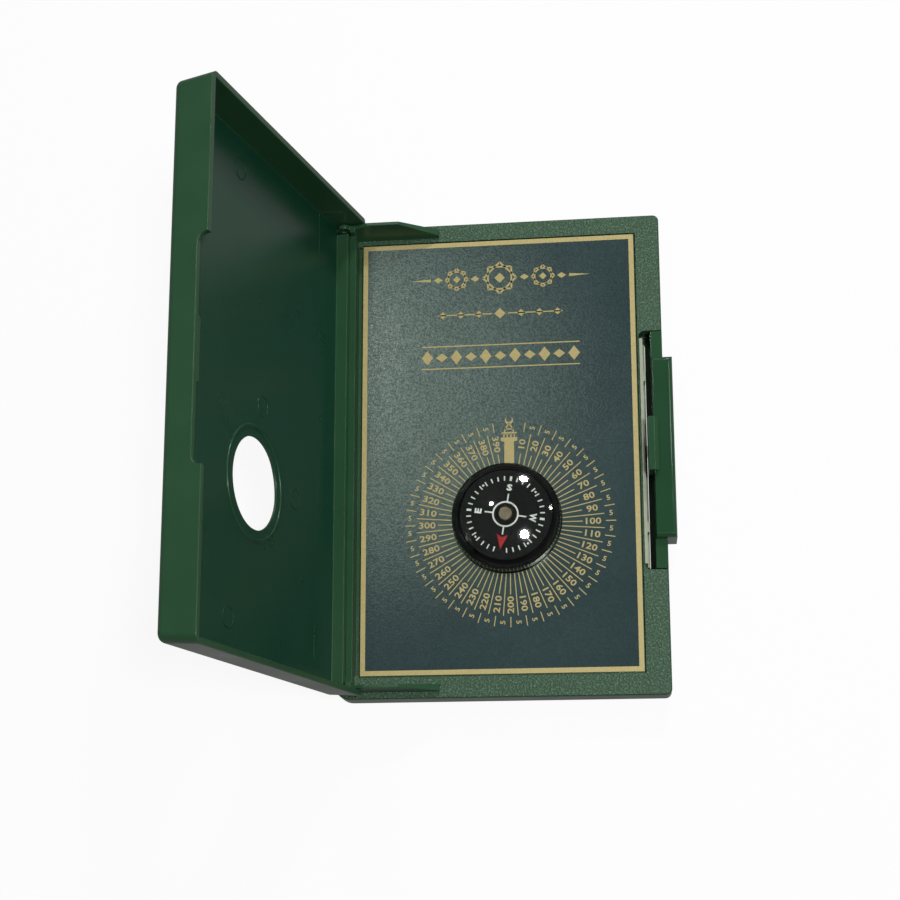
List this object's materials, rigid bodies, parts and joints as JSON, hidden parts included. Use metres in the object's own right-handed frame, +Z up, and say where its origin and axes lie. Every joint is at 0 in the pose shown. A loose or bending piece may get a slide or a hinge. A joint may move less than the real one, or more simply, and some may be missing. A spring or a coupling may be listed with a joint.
{
  "type": "qibla compass",
  "caption": "Hinged pocket case with a domed button compass set in a printed degree plate, a round viewing window in the lid and a push-button side latch.",
  "frame": {"origin": "centre of the flat underside of the base", "axes": "+X from the hinge to the latch, +Y along the case towards the dial plate's top, +Z up from the underside"},
  "size_m": [0.0823, 0.096, 0.0715],
  "materials": {
    "green_plastic": "moulded, fine grain on the deck",
    "pale_plastic": "moulded, matte",
    "printed_plate": "satin print, slate and gold",
    "adhesive": "double-sided sheet",
    "black_plastic": "gloss",
    "clear_acrylic": "clear, polished",
    "needle_steel": "hardened point",
    "dial_black": "printed",
    "magnet_metal": "plain",
    "cap_brass": "dull"
  },
  "bodies": {
    "base": {"base_tray": "green_plastic", "bottom_cover": "pale_plastic", "plate_tape": "adhesive", "dial_plate": "printed_plate", "capsule_tape": "adhesive", "compass_cup": "black_plastic", "compass_lens": "clear_acrylic", "pivot_needle": "needle_steel"},
    "lid": {"lid_shell": "green_plastic"},
    "latch": {"latch_bar": "green_plastic"},
    "dial": {"dial_disc": "dial_black", "dial_magnet": "magnet_metal", "jewel_cap": "cap_brass"}
  },
  "joints": [
    {"name": "lid_hinge", "type": "hinge", "parent": "base", "child": "lid", "pos_m": [-0.0303, 0, 0.0101], "axis": [0, 1, 0], "range_deg": [0, 104.4]},
    {"name": "latch_press", "type": "slide", "parent": "base", "child": "latch", "axis": [-1, 0, 0], "range_m": [0, 0.00095], "stiffness_N_per_m": 2500},
    {"name": "dial_turn", "type": "hinge", "parent": "base", "child": "dial", "pos_m": [0.0014, -0.01345, 0.0087], "axis": [0, 0, 1], "continuous": true}
  ]
}
